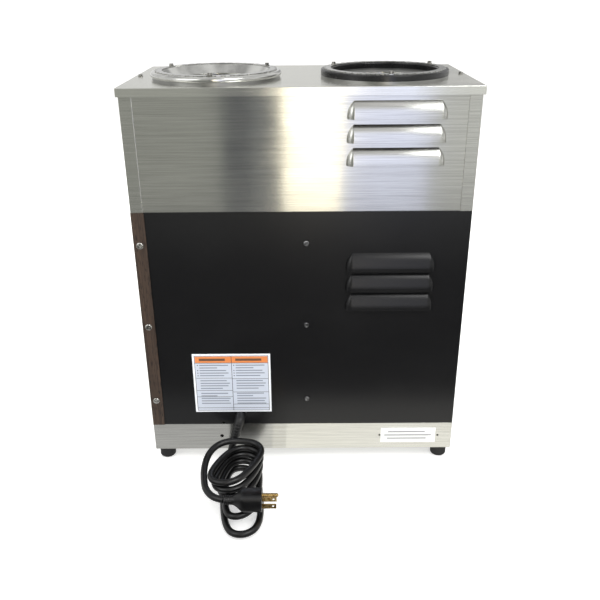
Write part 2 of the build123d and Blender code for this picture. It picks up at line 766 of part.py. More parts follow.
with BuildPart() as gearmotors:
    for side in sides:
        plate(
            (side * bracket_outer, rotor_y - gearbox_size / 2, rotor_z - gearbox_size / 2),
            (side * (bracket_outer + gearbox_length), rotor_y + gearbox_size / 2,
             rotor_z + gearbox_size / 2),
        )
    fillet(gearmotors.edges().filter_by(Axis.X), radius=4)
    for side in sides:
        start = (side * (bracket_outer + gearbox_length), rotor_y, rotor_z)
        rod(start, (side, 0, 0), motor_radius, motor_length)
        rod(
            (side * bracket_outer, rotor_y, rotor_z), (side, 0, 0), shaft_radius + running_gap,
            0.7 * gearbox_length, Mode.SUBTRACT,
        )
write_piece(gearmotors, "gearmotors")

# Doors over the pump compartment, each on two pins at its outer edge
door_back = front_y - door_stand_off
door_front = front_y - door_depth
door_low = floor_top + 3.8 + door_end_gap
door_high = cabinet_top - 5.5 - door_end_gap
door_edge = half_width - 0.5
hinge_x = door_edge - hinge_inset + 0.5
hinge_y = door_front + hinge_inset + 0.5
knuckle_radius = hinge_pin + hinge_wall
with BuildPart() as door_hinge_brackets:
    for side in sides:
        low_x, high_x = side * (half_width - front_return + 1), side * half_width
        top_level = door_high + door_end_gap
        low_level = door_low - door_end_gap
        plate((low_x, door_front, top_level), (high_x, front_y, top_level + bracket_tab))
        plate((low_x, front_y - sheet, top_level), (high_x, front_y, cabinet_top))
        rod((side * hinge_x, hinge_y, top_level), (0, 0, -1), hinge_pin, hinge_length)
        plate((low_x, door_front, low_level - bracket_tab), (high_x, front_y, low_level))
        plate((low_x, front_y - sheet, low_level - 10), (high_x, front_y, low_level))
        rod((side * hinge_x, hinge_y, low_level), (0, 0, 1), hinge_pin, hinge_length)
write_piece(door_hinge_brackets, "door_hinge_brackets")

for side, side_name in ((-1, "left"), (1, "right")):
    near, far = side * door_gap / 2, side * door_edge
    return_end = side * (hinge_x - 0.8 * knuckle_radius)
    with BuildPart() as door:
        plate((near, door_front, door_low), (far, door_front + sheet, door_high))
        plate((near, door_front, door_low), (near + side * sheet, door_back, door_high))
        plate((far - side * sheet, door_front, door_low), (far, hinge_y, door_high))
        plate((near, door_front, door_low), (return_end, door_back, door_low + sheet))
        plate((near, door_front, door_high - sheet), (return_end, door_back, door_high))
        for level, axis in ((door_low, 1), (door_high, -1)):
            rod((side * hinge_x, hinge_y, level), (0, 0, axis), knuckle_radius, hinge_length + 2)
        for level, axis in ((door_low, 1), (door_high, -1)):
            rod(
                (side * hinge_x, hinge_y, level), (0, 0, axis), hinge_pin + running_gap,
                hinge_length + 1, Mode.SUBTRACT,
            )
        middle = (door_low + door_high) / 2
        with BuildSketch(Plane(origin=(near, door_front, middle), x_dir=(0, 1, 0), z_dir=(side, 0, 0))):
            RectangleRounded(2 * pull_reach, pull_height, 6)
        extrude(amount=sheet)
    write_piece(door, f"door_{side_name}")

with BuildPart() as door_catches:
    for side in sides:
        plate(
            (side * 8, front_y + sheet + 3 * join, cabinet_top - sheet - 10),
            (side * 30, front_y + 14, cabinet_top - sheet),
        )
write_piece(door_catches, "door_catches")

# Controls: a button, a temperature knob and a lamp for each well, and one power rocker
bezel_radius = button_radius + 5
bezel_base = 1.5
cap_back = front_y - bezel_base - button_travel - 0.5
switch_depth = 24.0
with BuildPart() as button_bezels:
    for side in sides:
        start = (side * control_x, front_y, button_z)
        rod(start, (0, -1, 0), bezel_radius, 10)
        rod((side * control_x, front_y - bezel_base, button_z), (0, -1, 0), button_radius + panel_clearance,
            10, Mode.SUBTRACT)
        rod(start, (0, -1, 0), button_stem + panel_clearance, 10, Mode.SUBTRACT)
write_piece(button_bezels, "button_bezels")

with BuildPart() as dispense_switches:
    for side in sides:
        plate(
            (side * control_x - 12, front_y + sheet, button_z - 12),
            (side * control_x + 12, front_y + sheet + switch_depth, button_z + 12),
        )
        start = (side * control_x, front_y + sheet, button_z)
        rod(start, (0, 1, 0), button_stem + panel_clearance, 6 + button_travel + 1, Mode.SUBTRACT)
write_piece(dispense_switches, "dispense_switches")

for side, side_name in ((-1, "left"), (1, "right")):
    with BuildPart() as button:
        rod((side * control_x, cap_back, button_z), (0, -1, 0), button_radius, 6)
        fillet(button.edges().filter_by(GeomType.CIRCLE).group_by(Axis.Y)[0], radius=1.5)
        stem_length = front_y + sheet + 5 - cap_back
        rod((side * control_x, cap_back, button_z), (0, 1, 0), button_stem, stem_length)
    write_piece(button, f"dispense_button_{side_name}")

thermostat_size = 30.0
with BuildPart() as thermostat_bodies:
    for side in sides:
        plate(
            (side * control_x - thermostat_size / 2, front_y + sheet, knob_z - thermostat_size / 2),
            (side * control_x + thermostat_size / 2, front_y + 27, knob_z + thermostat_size / 2),
        )
        rod((side * control_x, front_y + sheet, knob_z), (0, 1, 0), knob_shaft + running_gap, 16,
            Mode.SUBTRACT)
write_piece(thermostat_bodies, "thermostat_bodies")

knob_back = front_y - sheet
for side, side_name in ((-1, "left"), (1, "right")):
    with BuildPart() as knob:
        rod((side * control_x, knob_back, knob_z), (0, -1, 0), knob_radius, 3)
        rod((side * control_x, knob_back, knob_z), (0, -1, 0), 0.72 * knob_radius, 17)
        fillet(knob.edges().filter_by(GeomType.CIRCLE).group_by(Axis.Y)[0], radius=1.5)
        with Locations(Plane(origin=(side * control_x, knob_back - 3, knob_z), z_dir=(0, -1, 0)).location):
            with PolarLocations(0.72 * knob_radius + 0.6, 12, start_angle=15):
                Cylinder(1.6, 16, align=(Align.CENTER, Align.CENTER, Align.MIN), mode=Mode.SUBTRACT)
        plate(
            (side * control_x - 0.7, knob_back - 18, knob_z + 4),
            (side * control_x + 0.7, knob_back - 16.2, knob_z + knob_radius),
            Mode.SUBTRACT,
        )
        rod((side * control_x, knob_back, knob_z), (0, 1, 0), knob_shaft, sheet * 2 + 12)
    write_piece(knob, f"thermostat_knob_{side_name}")

with BuildPart() as indicator_lamps:
    for side in sides:
        rod((side * control_x, front_y, lamp_z), (0, -1, 0), lamp_radius + 1.5, 4)
    fillet(indicator_lamps.edges().filter_by(GeomType.CIRCLE).group_by(Axis.Y)[0], radius=2.5)
    for side in sides:
        rod((side * control_x, front_y, lamp_z), (0, 1, 0), lamp_radius, 18)
write_piece(indicator_lamps, "indicator_lamps")

rocker_pivot_y = front_y + 3
pivot_radius = 1.2
cavity_x = rocker_half_width + 3 * join
cavity_z = rocker_half_length + 1.7
with BuildPart() as rocker_housing:
    plate(
        (-rocker_hole_x - 2.5, front_y - 1.5, knob_z - rocker_hole_z - 2.5),
        (rocker_hole_x + 2.5, front_y, knob_z + rocker_hole_z + 2.5),
    )
    fillet(rocker_housing.edges().filter_by(Axis.Y), radius=1.5)
    plate(
        (join - rocker_hole_x, front_y, knob_z - rocker_hole_z + join),
        (rocker_hole_x - join, front_y + 20, knob_z + rocker_hole_z - join),
    )
    plate((-cavity_x, front_y - 2, knob_z - cavity_z), (cavity_x, front_y + 12, knob_z + cavity_z),
          Mode.SUBTRACT)
    rod((-rocker_hole_x, rocker_pivot_y, knob_z), (1, 0, 0), pivot_radius + running_gap, 2 * rocker_hole_x,
        Mode.SUBTRACT)
write_piece(rocker_housing, "rocker_housing")

rocker_plane = Plane(origin=(-rocker_half_width, rocker_pivot_y, knob_z), x_dir=(0, 0, 1), z_dir=(1, 0, 0))
with BuildPart() as power_rocker:
    with BuildSketch(rocker_plane):
        Polygon(
            (-rocker_half_length, 4.5), (-rocker_half_length, 8.0), (0, 6.2), (rocker_half_length, 8.0),
            (rocker_half_length, 4.5), (3, -2.5), (-3, -2.5), rotation=rocker_tilt, align=None,
        )
    extrude(amount=2 * rocker_half_width)
    rod((-rocker_hole_x + join, rocker_pivot_y, knob_z), (1, 0, 0), pivot_radius,
        2 * (rocker_hole_x - join))
write_piece(power_rocker, "power_rocker")

# Tray that slides out of the base, with a slotted grate standing in it
tray_top = base_top - sheet - tray_gap
tray_low = base_bottom + sheet + 3 * join
tray_half = tray_width / 2
tray_back = base_front_y + tray_depth
with BuildPart() as drip_tray:
    plate((-tray_half, base_front_y, tray_low), (tray_half, tray_back, tray_top))
    fillet(drip_tray.edges().filter_by(Axis.Z).group_by(Axis.Y)[-1], radius=6)
    plate(
        (tray_wall - tray_half, base_front_y + tray_wall, tray_low + tray_wall),
        (tray_half - tray_wall, tray_back - tray_wall, tray_top + 1),
        Mode.SUBTRACT,
    )
    face_half = slot_half + 8
    plate(
        (-face_half, base_front_y - 3 * join - sheet, base_bottom + 1),
        (face_half, base_front_y - 3 * join, base_top - 1),
    )
    plate(
        (-tray_half + 4, base_front_y - sheet, tray_low + 4),
        (tray_half - 4, base_front_y + tray_wall, tray_top - 4),
    )
    plate(
        (-60, base_front_y - tray_reach, base_top - 1 - sheet),
        (60, base_front_y - 3 * join, base_top - 1),
    )
    fillet(drip_tray.edges().filter_by(Axis.Z).group_by(Axis.Y)[0], radius=8)
write_piece(drip_tray, "drip_tray")

grate_low = tray_top - 3
grate_width = 2 * grate_half
with BuildPart() as drip_grate:
    plate((-grate_half, grate_front, grate_low), (grate_half, grate_back, grate_low + grate_thickness))
    fillet(drip_grate.edges().filter_by(Axis.Z), radius=5)
    slot_pitch = grate_width / (grate_slots + 1)
    for i in range(grate_slots):
        slot_x = (i - (grate_slots - 1) / 2) * slot_pitch
        plate(
            (slot_x - grate_slot_width / 2, grate_front + 12, grate_low - 1),
            (slot_x + grate_slot_width / 2, grate_back - 12, grate_low + grate_thickness + 1),
            Mode.SUBTRACT,
        )
    for side in sides:
        for leg_y in (grate_front + 8, grate_back - 8):
            rod((side * (grate_half - 8), leg_y, tray_low + tray_wall + join), (0, 0, 1), grate_leg,
                grate_low - tray_low - tray_wall)
write_piece(drip_grate, "drip_grate")

# Wiring terminals on the wall behind the dispensing space
with BuildPart() as terminal_block:
    plate((60, alcove_y + sheet, base_top + 40), (130, alcove_y + sheet + 20, base_top + 60))
    for i in range(6):
        rod((66 + i * 11.6, alcove_y + sheet + 21, base_top + 50), (0, -1, 0), 3.2, 8, Mode.SUBTRACT)
write_piece(terminal_block, "terminal_block")

# Stickers
with BuildPart() as rear_label:
    plate(
        (label_low[0], back_y, base_top + label_low[1]),
        (label_low[0] + label_size[0], back_y + sticker, base_top + label_low[1] + label_size[1]),
    )
write_piece(rear_label, "rear_label")

with BuildPart() as base_tag:
    plate(
        (tag_low[0], back_y, base_bottom + tag_low[1]),
        (tag_low[0] + tag_size[0], back_y + sticker, base_bottom + tag_low[1] + tag_size[1]),
    )
write_piece(base_tag, "base_tag")


# Power cord: a rubber boot, the lead down to the counter, the coil, the tail and the plug
def behind(points):
    """Turns points measured from the back of the machine into the model's frame."""
    return [Vector(x, y + back_y, z) for x, y, z in points]


def gentle_radii(points, limit=999.0):
    """The largest arc that each corner's two runs allow."""
    radii = []
    for before, here, after in zip(points, points[1:], points[2:]):
        turn = (here - before).get_angle(after - here)
        shorter = min((here - before).length, (after - here).length)
        half_tangent = Vector(1, 0).rotate(Axis.Z, turn / 2)
        radii.append(min(limit, 0.45 * shorter * half_tangent.X / half_tangent.Y))
    return radii


exit_z = base_top + exit_rise
boot_points = behind([(exit_x, -3.4, exit_z), (exit_x, 7.5, exit_z), (98.0, 17.0, 37.0)])
with BuildPart() as strain_relief:
    with BuildLine() as boot_route:
        FilletPolyline(*boot_points, radius=8)
    with BuildSketch(Plane(origin=boot_route.line @ 0, z_dir=boot_route.line % 0)):
        Circle(boot_radius)
    sweep()
    rod((exit_x, back_y - sheet, exit_z), (0, -1, 0), boot_radius + 4, 2.2)
write_piece(strain_relief, "strain_relief")

lead_points = behind([
    (98.0, 17.0, 37.0), (101.5, 20.5, 25.0), (103.5, 26.0, 13.5), (103.5, 36.0, 7.0),
    (102.0, 47.0, 5.0),
])
tail_points = behind([
    (82.0, 25.0, 50.5), (98.0, 26.5, 50.5), (116.0, 34.0, 49.5), (127.5, 51.0, 46.0), (130.5, 76.0, 41.0),
    (127.5, 98.0, 37.5), (124.0, 112.0, 36.8), (116.0, 124.0, 36.6), (107.0, 130.5, 37.0),
    (99.0, 132.7, 37.0),
])
for name, points in (("cord_lead", lead_points), ("cord_tail", tail_points)):
    radii = gentle_radii(points)
    with BuildPart() as cord:
        with BuildLine() as cord_route:
            FilletPolyline(*points, radius=radii)
        with BuildSketch(Plane(origin=cord_route.line @ 0, z_dir=cord_route.line % 0)):
            Circle(cord_radius)
        sweep()
    write_piece(cord, name)
    length = sum(edge.length for edge in cord_route.edges())
    share = cord.part.volume / (Circle(cord_radius).area * length)
    print(name, "radii", [round(r, 1) for r in radii], "length", round(length, 1), "volume", round(share, 4))

with BuildPart() as cord_coil:
    for centre, size, low in (
        (coil_low_centre, coil_low_size, 0),
        (coil_high_centre, coil_high_size, coil_low_size[2]),
    ):
        with BuildSketch(Plane(origin=(centre[0], back_y + centre[1], low))):
            SlotOverall(size[1], size[0], rotation=90)
        extrude(amount=size[2])
write_piece(cord_coil, "cord_coil")

plug_x, plug_y, plug_z = plug_place[0], back_y + plug_place[1], plug_place[2]
plug_face = plug_x - plug_length / 2
with BuildPart() as plug_body:
    with BuildSketch(Plane(origin=(plug_face, plug_y, plug_z), x_dir=(0, 1, 0), z_dir=(1, 0, 0))):
        RectangleRounded(plug_width, plug_height, 6)
    extrude(amount=0.42 * plug_length)
    with BuildSketch(Plane(origin=(plug_face + 0.42 * plug_length, plug_y, plug_z), x_dir=(0, 1, 0),
                           z_dir=(1, 0, 0))):
        RectangleRounded(plug_width, plug_height, 6)
    with BuildSketch(Plane(origin=(plug_face + 0.78 * plug_length, plug_y, plug_z), x_dir=(0, 1, 0),
                           z_dir=(1, 0, 0))):
        RectangleRounded(0.6 * plug_width, 0.6 * plug_height, 5)
    loft()
    rod((plug_face + 0.78 * plug_length, plug_y, plug_z), (1, 0, 0), cord_radius + 2, 0.22 * plug_length)
write_piece(plug_body, "plug_body")

blade_z = plug_z - 0.4 * ground_offset
with BuildPart() as plug_blades:
    for side in sides:
        middle_y = plug_y + side * blade_spacing / 2
        plate(
            (plug_face - blade_length, middle_y - blade_thickness / 2, blade_z - blade_width / 2),
            (plug_face, middle_y + blade_thickness / 2, blade_z + blade_width / 2),
        )
        rod((plug_face - blade_length + 4, middle_y - 2, blade_z), (0, 1, 0), 1.6, 4, Mode.SUBTRACT)
    rod((plug_face, plug_y, blade_z + ground_offset), (-1, 0, 0), ground_radius, ground_length)
    fillet(plug_blades.edges().filter_by(GeomType.CIRCLE).group_by(Axis.X)[0], radius=0.9 * ground_radius)
write_piece(plug_blades, "plug_blades")
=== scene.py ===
import math

import bpy
import numpy as np
from mathutils import Matrix, Vector


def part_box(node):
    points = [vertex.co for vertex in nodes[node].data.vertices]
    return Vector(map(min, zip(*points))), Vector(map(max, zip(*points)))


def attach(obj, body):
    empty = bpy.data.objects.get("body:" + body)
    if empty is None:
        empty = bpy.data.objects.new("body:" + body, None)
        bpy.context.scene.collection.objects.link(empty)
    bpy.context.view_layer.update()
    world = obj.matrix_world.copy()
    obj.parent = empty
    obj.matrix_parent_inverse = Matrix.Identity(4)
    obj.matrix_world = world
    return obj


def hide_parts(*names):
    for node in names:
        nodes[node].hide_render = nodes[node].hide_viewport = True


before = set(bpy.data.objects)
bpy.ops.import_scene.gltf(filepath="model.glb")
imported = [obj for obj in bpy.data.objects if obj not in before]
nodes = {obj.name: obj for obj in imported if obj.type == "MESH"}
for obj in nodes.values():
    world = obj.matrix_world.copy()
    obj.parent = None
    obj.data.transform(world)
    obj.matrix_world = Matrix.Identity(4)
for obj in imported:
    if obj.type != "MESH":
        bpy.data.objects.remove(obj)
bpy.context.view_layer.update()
back_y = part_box("upper_housing")[1].y

# Camera: a step behind the machine and looking down at about 24 degrees, so that the lid
# and its two wells show above the rear panels. The place is in metres, the angles in degrees.
camera_gap, camera_height, camera_side = 0.8298, 0.623, -0.0015
camera_turn, camera_tilt, camera_roll = 180.266, 65.763, -0.477
lens = bpy.data.cameras.new("camera")
lens.sensor_width = 36.0
lens.lens = 42.26
camera = bpy.data.objects.new("camera", lens)
bpy.context.scene.collection.objects.link(camera)
turn = Matrix.Rotation(math.radians(camera_turn), 4, "Z")
tilt = Matrix.Rotation(math.radians(camera_tilt), 4, "X")
roll = Matrix.Rotation(math.radians(camera_roll), 4, "Z")
place = Matrix.Translation((camera_side, back_y + camera_gap, camera_height))
camera.matrix_world = place @ turn @ tilt @ roll
bpy.context.scene.camera = camera
bpy.context.scene.view_settings.view_transform = "Standard"

# Power cord: 1.39 m of round black jacketed lead, about as stiff as any three-core mains cord.
# It falls from its boot, lies in loose leaning turns against the base, and its last turn
# swings out to the plug. The points are in metres, measured from the machine's back.
cord_diameter = 0.0088
coil_point_count, points_per_turn, coil_start_degrees, side_sharpness = 78, 16, -25, 2.2
lead_points = [
    (0.0980, 0.0170, 0.0370), (0.1018, 0.0200, 0.0250), (0.1045, 0.0260, 0.0135),
    (0.1050, 0.0350, 0.0065), (0.1038, 0.0470, 0.0046),
]
tail_points = [
    (0.0980, 0.0265, 0.0505), (0.1160, 0.0340, 0.0495), (0.1275, 0.0510, 0.0460),
    (0.1305, 0.0760, 0.0410), (0.1275, 0.0980, 0.0375), (0.1240, 0.1120, 0.0368),
    (0.1160, 0.1240, 0.0366), (0.1070, 0.1305, 0.0370), (0.0990, 0.1327, 0.0370),
]


def coil_points():
    """The loose turns: each is two half circles joined by straight sides, whose middle, radius,
    two ends, height and lean change evenly from one row below to the next as the cord climbs."""
    rows = np.array((
        (0.080, 0.025, 0.034, 0.166, 0.0046, -0.006),
        (0.079, 0.023, 0.037, 0.151, 0.0137, -0.004),
        (0.083, 0.024, 0.032, 0.113, 0.0228, 0.004),
        (0.086, 0.026, 0.030, 0.113, 0.0319, 0.007),
        (0.088, 0.027, 0.028, 0.110, 0.0410, 0.010),
        (0.089, 0.028, 0.026, 0.106, 0.0501, 0.012),
    ))
    turns = np.arange(coil_point_count) / points_per_turn
    middle, radius, near, far, height, lean = (
        np.interp(turns, range(len(rows)), column) for column in rows.T
    )
    angle = math.radians(coil_start_degrees) + 2 * np.pi * turns
    swing = np.tanh(side_sharpness * np.sin(angle)) / math.tanh(side_sharpness)
    x = middle + radius * np.cos(angle) + lean * swing
    y = (near + far) / 2 + ((far - near) / 2 - radius) * swing + radius * np.sin(angle)
    return np.stack([x, y, height], 1).tolist()


def smooth_line(points):
    """The points of the smooth NURBS line that a list of control points pulls towards them."""
    curve = bpy.data.curves.new("line", "CURVE")
    curve.dimensions = "3D"
    curve.resolution_u = 8
    spline = curve.splines.new("NURBS")
    spline.points.add(len(points) - 1)
    for point, place in zip(spline.points, points):
        point.co = (*place, 1)
    spline.order_u = 3
    spline.use_endpoint_u = True
    holder = bpy.data.objects.new("line", curve)
    mesh = bpy.data.meshes.new_from_object(holder)
    line = np.empty(3 * len(mesh.vertices))
    mesh.vertices.foreach_get("co", line)
    bpy.data.objects.remove(holder)
    return line.reshape(-1, 3)


def swept(name, line, outline, sides=24):
    """A closed skin carried along a line. outline(share, angle) gives the two half-sizes of the
    section across the line, for the share of the length and the angle round it: a point is the
    line's point, plus the first times one side direction, plus the second times the other."""
    step = np.linalg.norm(np.diff(line, axis=0), axis=1)
    share = np.concatenate([[0], np.cumsum(step)]) / step.sum()
    forward = np.gradient(line, axis=0)
    forward /= np.linalg.norm(forward, axis=1)[:, None]
    side = np.empty_like(line)
    side[0] = np.cross(forward[0], np.eye(3)[np.argmin(abs(forward[0]))])
    for i in range(1, len(line)):
        side[i] = side[i - 1] - forward[i] * (side[i - 1] @ forward[i])
    side /= np.linalg.norm(side, axis=1)[:, None]
    other = np.cross(forward, side)
    angle = np.linspace(0, 2 * np.pi, sides, endpoint=False)
    wide, tall = outline(share[:, None], angle[None])
    points = line[:, None] + wide[..., None] * side[:, None] + tall[..., None] * other[:, None]
    ring, around = np.arange(len(line) - 1)[:, None] * sides, np.arange(sides)[None]
    after, upper = (around + 1) % sides, ring + sides
    quads = np.stack([ring + around, ring + after, upper + after, upper + around], -1)
    last = sides * (len(line) - 1)
    end_caps = [list(range(sides - 1, -1, -1)), list(range(last, last + sides))]
    faces = quads.reshape(-1, 4).tolist() + end_caps
    mesh = bpy.data.meshes.new(name)
    mesh.from_pydata(points.reshape(-1, 3).tolist(), [], faces)
    mesh.shade_smooth()
    made = bpy.data.objects.new(name, mesh)
    bpy.context.scene.collection.objects.link(made)
    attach(made, "machine")
    return made


cord_route = [(x, back_y + y, z) for x, y, z in lead_points + coil_points() + tail_points]
cord_line = smooth_line(cord_route)


def jacket_outline(share, angle):
    """A round cord: half its diameter times the cosine and the sine of the angle."""
    radius = np.full_like(share, cord_diameter / 2)
    return radius * np.cos(angle), radius * np.sin(angle)


cord = swept("power_cord", cord_line, jacket_outline)
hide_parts("cord_lead", "cord_coil", "cord_tail")

# Boot: the tapered rubber sleeve that keeps the cord from kinking where it leaves the panel.
# It is moulded onto the cord, with shallow flex grooves down its length.
boot_radius, boot_taper, groove_depth, groove_rate = 0.0072, 0.0019, 0.0005, 11
boot_line = smooth_line([(x, back_y + y, z) for x, y, z in (
    (0.0867, -0.0020, 0.0725), (0.0867, 0.0060, 0.0725), (0.0890, 0.0110, 0.0660),
    (0.0940, 0.0140, 0.0500), (0.0980, 0.0172, 0.0365),
)])


def boot_outline(share, angle):
    """A round taper from the panel to the cord: 7.2 mm less 1.9 mm over its length, and less
    0.5 mm more at each of seven grooves."""
    grooved = (share > 0.28) & (share < 0.9)
    groove = np.where(grooved, np.maximum(0, np.cos(2 * np.pi * groove_rate * share)), 0)
    radius = boot_radius - boot_taper * share - groove_depth * groove
    return radius * np.cos(angle), radius * np.sin(angle)


fine_share = np.linspace(0, 1, 90)
coarse_share = np.linspace(0, 1, len(boot_line))
boot_line = np.stack([np.interp(fine_share, coarse_share, boot_line[:, i]) for i in range(3)], 1)
boot = swept("cord_boot", boot_line, boot_outline)
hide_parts("strain_relief")

# Plug: a moulded three-pin plug with a flat face, rounded shoulders and a ribbed tail.
# It is cast over the cord's end in the same black vinyl.
tail_half, shoulder_growth, tail_share, shoulder_share = 0.0060, 0.0069, 0.20, 0.34
plug_low, plug_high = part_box("plug_body")
plug_middle = (plug_low + plug_high) / 2
plug_line = np.linspace(
    (plug_high.x, plug_middle.y, plug_middle.z), (plug_low.x, plug_middle.y, plug_middle.z), 64
)


def plug_outline(share, angle):
    """A rounded square section, as |cos| and |sin| to the power 0.55, whose half-size goes from
    the 6 mm tail up a smooth shoulder to the 12.9 mm body, with grooves round the tail."""
    rise = np.clip((share - tail_share) / shoulder_share, 0, 1)
    rise = rise * rise * (3 - 2 * rise)
    ends = np.minimum(1, np.minimum(share, 1 - share) * 60) * 0.06 + 0.94
    groove = np.where(share < tail_share, 0.0004 * np.cos(2 * np.pi * share * 20), 0)
    half = (tail_half + shoulder_growth * rise) * ends - groove
    power = 1 - 0.45 * rise
    cos, sin = np.cos(angle), np.sin(angle)
    return half * np.sign(cos) * abs(cos) ** power, half * np.sign(sin) * abs(sin) ** power


plug = swept("plug_moulding", plug_line, plug_outline)
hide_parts("plug_body")


# Jacket, boot and plug: black PVC and rubber, moulded with a fine matt skin that handling
# has polished, so it shows a soft highlight along each turn.
def linear(code):
    """A colour written as sRGB hex, as the linear colour that shaders take."""
    parts = [int(code[i:i + 2], 16) / 255 for i in (0, 2, 4)]
    return [c / 12.92 if c <= 0.04045 else ((c + 0.055) / 1.055) ** 2.4 for c in parts] + [1.0]


def add_node(tree, kind, values=(), **settings):
    """Adds a shader node with its settings. A value that is a node or a socket is linked, and
    a node stands for its first output in use."""
    node = tree.nodes.new("ShaderNode" + kind)
    for name, value in settings.items():
        setattr(node, name, value)
    for name, value in dict(values).items():
        if isinstance(value, bpy.types.Node):
            value = next(output for output in value.outputs if output.enabled)
        if isinstance(value, bpy.types.NodeSocket):
            tree.links.new(value, node.inputs[name])
        else:
            node.inputs[name].default_value = value
    return node


def start_material(name, metallic=0.0):
    """A named material with its tree, its shader and the piece's own coordinates in metres."""
    material = bpy.data.materials.new(name)
    material.use_nodes = True
    tree = material.node_tree
    shader = tree.nodes["Principled BSDF"]
    shader.inputs["Metallic"].default_value = metallic
    return material, tree, shader, add_node(tree, "TexCoord").outputs["Object"]


def grain(tree, place, size_mm, detail=3.0):
    """Noise whose cells have these sizes in millimetres along X, Y and Z."""
    spread = add_node(tree, "Mapping", {"Vector": place, "Scale": [1000 / size for size in size_mm]})
    noise = {"Vector": spread, "Scale": 1.0, "Detail": detail, "Roughness": 0.6}
    return add_node(tree, "TexNoise", noise)


def blend(tree, share, first, second):
    """A colour that goes from the first to the second, each a node or sRGB hex, as share rises."""
    ends = [linear(end) if isinstance(end, str) else end for end in (first, second)]
    return add_node(tree, "Mix", {0: share, 6: ends[0], 7: ends[1]}, data_type="RGBA")


def surface(tree, shader, colour, roughness, bump, depth_mm, edge_mm=0.4):
    """Links a colour, a (noise, low, high) roughness and a bump of a real depth on rounded edges."""
    tree.links.new(next(out for out in colour.outputs if out.enabled), shader.inputs["Base Color"])
    source, low, high = roughness
    levels = {"Value": source, "From Min": 0.3, "From Max": 0.7, "To Min": low, "To Max": high}
    rough = add_node(tree, "MapRange", levels)
    tree.links.new(rough.outputs[0], shader.inputs["Roughness"])
    edge = add_node(tree, "Bevel", {"Radius": edge_mm / 1000}, samples=4)
    relief = {"Height": bump, "Strength": 1.0, "Distance": depth_mm / 1000, "Normal": edge}
    normal = add_node(tree, "Bump", relief)
    tree.links.new(normal.outputs[0], shader.inputs["Normal"])


def give(material, *names):
    """Puts a material on CAD nodes."""
    for name in names:
        nodes[name].data.materials.clear()
        nodes[name].data.materials.append(material)


def moulded(name, first, second, roughness, grain_mm=1.2, depth_mm=0.02):
    """Moulded plastic or rubber: a fine skin, with patches a little lighter and duller."""
    material, tree, shader, place = start_material(name)
    patches = grain(tree, place, (25, 25, 25))
    colour = blend(tree, patches, first, second)
    skin = grain(tree, place, (grain_mm, grain_mm, grain_mm))
    surface(tree, shader, colour, (patches, roughness - 0.05, roughness + 0.07), skin, depth_mm)
    return material


cord.data.materials.append(moulded("pvc_cord_jacket", "050506", "0B0B0C", 0.32))
boot.data.materials.append(moulded("rubber_boot", "0D0D0E", "161617", 0.40))
plug.data.materials.append(moulded("pvc_plug", "040405", "08080A", 0.36))


# Plug blades: rolled brass strip and a turned ground pin, with a little brown tarnish.
def worn_metal(name, bright, dull, roughness, cell_mm, depth_mm=0.01):
    """Solid metal with patches of tarnish or grime."""
    material, tree, shader, place = start_material(name, 1.0)
    patches = grain(tree, place, (cell_mm, cell_mm, cell_mm))
    share = add_node(tree, "MapRange", {"Value": patches, "From Min": 0.35, "From Max": 0.65})
    colour = blend(tree, share, dull, bright)
    surface(tree, shader, colour, (patches, roughness - 0.04, roughness + 0.10), patches, depth_mm, 0.25)
    return material


give(worn_metal("rolled_brass", "D9BE84", "8A6A36", 0.24, 4.0), "plug_blades")


# Base, tray, doors and upper body: 1.2 mm stainless sheet, folded, with a number 4 brushed
# finish that runs across the machine. Real scratches are 0.05 mm wide; they are drawn 1.4 mm
# wide and 90 mm long so that they show. The sheet is not quite flat, which bends reflections.
def brushed_sheet(name, bright, dull, roughness, wave_mm=0.16):
    """Brushed stainless. Reflections spread across the scratches: the tangent is the cross
    product of the surface's direction and the scratch direction, with a little Z for the sides."""
    material, tree, shader, place = start_material(name, 1.0)
    scratches = grain(tree, place, (90, 1.4, 1.4), 4.0)
    smears = grain(tree, place, (60, 40, 40), 3.0)
    streaks = add_node(tree, "MapRange", {"Value": scratches, "From Min": 0.25, "From Max": 0.65})
    colour = blend(tree, streaks, dull, bright)
    waves = grain(tree, place, (110, 110, 90), 1.0)
    wavy = add_node(tree, "Bump", {"Height": waves, "Strength": 1.0, "Distance": wave_mm / 1000})
    surface(tree, shader, colour, (smears, roughness - 0.02, roughness + 0.03), scratches, 0.006)
    tree.links.new(wavy.outputs[0], tree.nodes["Bevel"].inputs["Normal"])
    facing = add_node(tree, "NewGeometry").outputs["Normal"]
    across = add_node(tree, "VectorMath", {0: facing, 1: (1.0, 0.0, 0.0)}, operation="CROSS_PRODUCT")
    tangent = add_node(tree, "VectorMath", {0: across, 1: (0.0, 0.0, 0.02)}, operation="ADD")
    tree.links.new(tangent.outputs[0], shader.inputs["Tangent"])
    shader.inputs["Anisotropic"].default_value = 0.97
    return material


give(brushed_sheet("brushed_stainless_sheet", "CFCFCA", "B9B9B4", 0.17),
     "upper_rear_panel", "upper_housing", "base_chassis", "door_left", "door_right", "drip_tray",
     "alcove_back", "compartment_floor")
give(worn_metal("turned_steel_screw", "C9C8C2", "5F5E5A", 0.26, 2.5), "foot_screws")
give(moulded("neoprene_foot", "101011", "1B1B1C", 0.62, 2.0, 0.05), "rubber_feet")

# Inner sheets and brackets: hot-dip galvanised steel with a soft spangle of 12 mm crystals.
inner, tree, shader, place = start_material("galvanised_sheet", 1.0)
crystals_per_metre = 83
crystals = add_node(tree, "Mapping", {"Vector": place, "Scale": [crystals_per_metre] * 3})
spangle = add_node(tree, "TexVoronoi", {"Vector": crystals, "Scale": 1.0}).outputs["Distance"]
surface(tree, shader, blend(tree, spangle, "8D9193", "A7ABAD"), (spangle, 0.36, 0.50), spangle, 0.01)
give(inner, "centre_partition", "mid_deck", "pump_brackets", "door_hinge_brackets")

